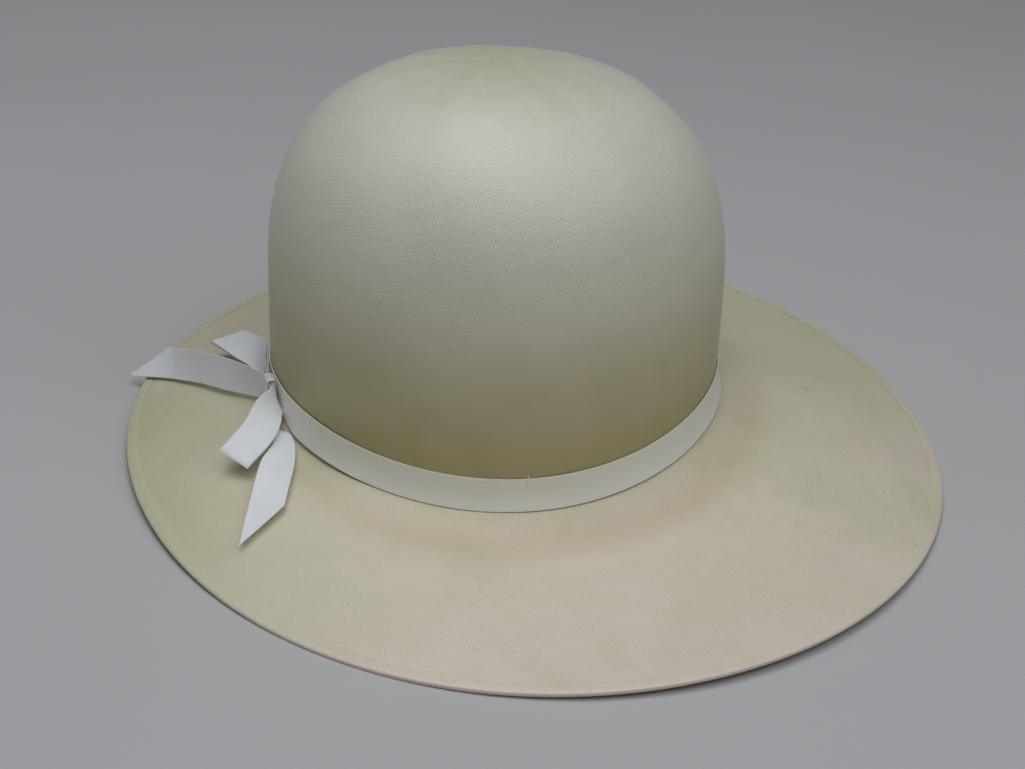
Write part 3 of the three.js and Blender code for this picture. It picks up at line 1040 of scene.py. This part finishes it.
def ribbon_material(name, colour, shade, rib, bump):
    """A plain ribbon with fine cross ribs and soft lengthwise streaks."""
    nodes = Nodes(name)
    uv = nodes.add("SeparateXYZ", {"Vector": nodes.add("UVMap", uv_map="weave").outputs[0]})
    rib_turn = nodes.times(uv.outputs[0], 2 * math.pi / (rib * MM))
    thread_turn = nodes.times(uv.outputs[1], 2 * math.pi / (0.5 * rib * MM))
    ribs = nodes.math("SINE", rib_turn)
    threads = nodes.times(nodes.math("SINE", thread_turn), 0.5)
    height = nodes.total(ribs, threads)
    streaks = nodes.noise(nodes.place(), 70.0, 3.0)
    colour = nodes.mix(nodes.scaled(streaks, 0.4, 0.7, 0, 0.5), colour, shade)
    groove = nodes.scaled(ribs, -1.0, 0.2, 0.12, 0.0)
    colour = nodes.mix(groove, colour, shade)
    normal = nodes.bump(height, bump * MM, 0.6)
    creases = nodes.noise(nodes.place(), 90.0, 2.0)
    normal = nodes.bump(creases, 0.25 * MM, 0.4, normal)
    return nodes.set(
        base_color=colour,
        roughness=nodes.scaled(streaks, 0.3, 0.7, 0.6, 0.72),
        normal=normal,
        specular_ior_level=0.35,
        sheen_weight=0.25,
        sheen_roughness=0.4,
    )


def thread_material(name, dark, light):
    nodes = Nodes(name)
    wave = nodes.noise(nodes.place(), 900.0, 2.0)
    colour = nodes.mix(wave, dark, light)
    normal = nodes.bump(wave, 0.08 * MM, 0.8)
    return nodes.set(base_color=colour, roughness=0.7, normal=normal, sheen_weight=0.2)


def wire_material():
    nodes = Nodes("edge_wire")
    scratches = nodes.noise(nodes.place((1, 1, 8)), 400.0, 3.0)
    colour = nodes.mix(scratches, (0.5, 0.5, 0.52, 1), (0.7, 0.7, 0.72, 1))
    rough = nodes.scaled(scratches, 0.3, 0.7, 0.3, 0.5)
    return nodes.set(base_color=colour, metallic=1.0, roughness=rough)


white = ribbon_material(
    "white_ribbon", linear(244, 246, 248), linear(234, 237, 240), 0.55, 0.03
)
# Painted bounce light: the band is a lighter, warmer copy of the bow's white ribbon
band_bounce_white = ribbon_material(
    "band_ribbon_bounce_lit", linear(250, 249, 237), linear(241, 240, 227), 0.55, 0.03
)
lining = ribbon_material(
    "lining_ribbon", linear(226, 220, 202), linear(204, 194, 168), 1.0, 0.08
)
thread = thread_material("cotton_thread", linear(226, 214, 184), linear(240, 232, 210))
white_thread = thread_material("white_thread", linear(234, 235, 234), linear(248, 248, 246))
band.data.materials.append(band_bounce_white)
for piece, _ in bow_pieces:
    piece.data.materials.append(white)
for piece in (sweatband, tab):
    piece.data.materials.append(lining)
for piece in (hem_stitches, sweat_stitches):
    piece.data.materials.append(thread)
hem.data.materials.append(straw_material("turned_straw"))

kept_nodes = {
    "brim_wire": wire_material(),
    "band_tack_front": white_thread,
    "band_tack_left": white_thread,
    "band_tack_right": white_thread,
    "bow_stitch_upper": white_thread,
    "bow_stitch_lower": white_thread,
}
for node, material in kept_nodes.items():
    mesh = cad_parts[node].data
    mesh.materials.clear()
    mesh.materials.append(material)

# ---- Floor, light and camera ----


def floor():
    size = 6
    corners = [(-size, -size, 0), (size, -size, 0), (size, size, 0), (-size, size, 0)]
    mesh = bpy.data.meshes.new("floor")
    mesh.from_pydata(corners, [], [(0, 1, 2, 3)])
    plane = bpy.data.objects.new("floor", mesh)
    bpy.context.scene.collection.objects.link(plane)
    nodes = Nodes("pale_floor")
    grain = nodes.noise(nodes.place(), 6.0, 4.0)
    colour = nodes.mix(grain, linear(190, 190, 190), linear(196, 196, 196))
    plane.data.materials.append(nodes.set(base_color=colour, roughness=0.85))


def area_light(name, at, aim, size, power, colour=(1, 1, 1)):
    data = bpy.data.lights.new(name, "AREA")
    data.shape = "RECTANGLE"
    data.size, data.size_y = size
    data.energy = power
    data.color = colour
    light = bpy.data.objects.new(name, data)
    light.location = at
    light.rotation_euler = (Vector(aim) - Vector(at)).to_track_quat("-Z", "Y").to_euler()
    bpy.context.scene.collection.objects.link(light)


def camera():
    azimuth, elevation = math.radians(CAMERA_AZIMUTH), math.radians(CAMERA_ELEVATION)
    back = Vector(
        (
            math.sin(azimuth) * math.cos(elevation),
            -math.cos(azimuth) * math.cos(elevation),
            math.sin(elevation),
        )
    )
    data = bpy.data.cameras.new("camera")
    data.sensor_width = SENSOR
    data.lens = IMAGE_FOCAL * SENSOR / IMAGE_WIDTH
    data.shift_x = IMAGE_SHIFT[0] / IMAGE_WIDTH
    data.shift_y = IMAGE_SHIFT[1] / IMAGE_WIDTH
    data.clip_start = 0.05
    shot = bpy.data.objects.new("camera", data)
    place = Vector(CAMERA_TARGET * MM) + back * CAMERA_DISTANCE * MM
    turn = (-back).to_track_quat("-Z", "Y").to_matrix().to_4x4()
    roll = Matrix.Rotation(math.radians(CAMERA_ROLL), 4, "Z")
    shot.matrix_world = Matrix.Translation(place) @ turn @ roll
    bpy.context.scene.collection.objects.link(shot)
    bpy.context.scene.camera = shot


floor()
camera()
MIDDLE = (0, 0.02, 0.08)
COOL = (0.98, 1.0, 1.05)
area_light("overhead", (-0.05, 0.2, 1.7), MIDDLE, (1.1, 1.1), 10.4, COOL)
area_light("near_side", (-1.0, 0.02, 1.5), MIDDLE, (1.0, 1.0), 5.4, COOL)
area_light("near_front", (-0.8, -0.9, 1.4), MIDDLE, (1.0, 1.0), 3.8, COOL)
area_light("far_back", (0.2, 1.3, 1.3), MIDDLE, (1.0, 1.0), 1.2, COOL)
world = bpy.data.worlds.new("studio")
world.use_nodes = True
world.node_tree.nodes["Background"].inputs["Color"].default_value = (1, 1, 1, 1)
world.node_tree.nodes["Background"].inputs["Strength"].default_value = 0.05
scene = bpy.context.scene
scene.world = world
scene.view_settings.view_transform = "Standard"
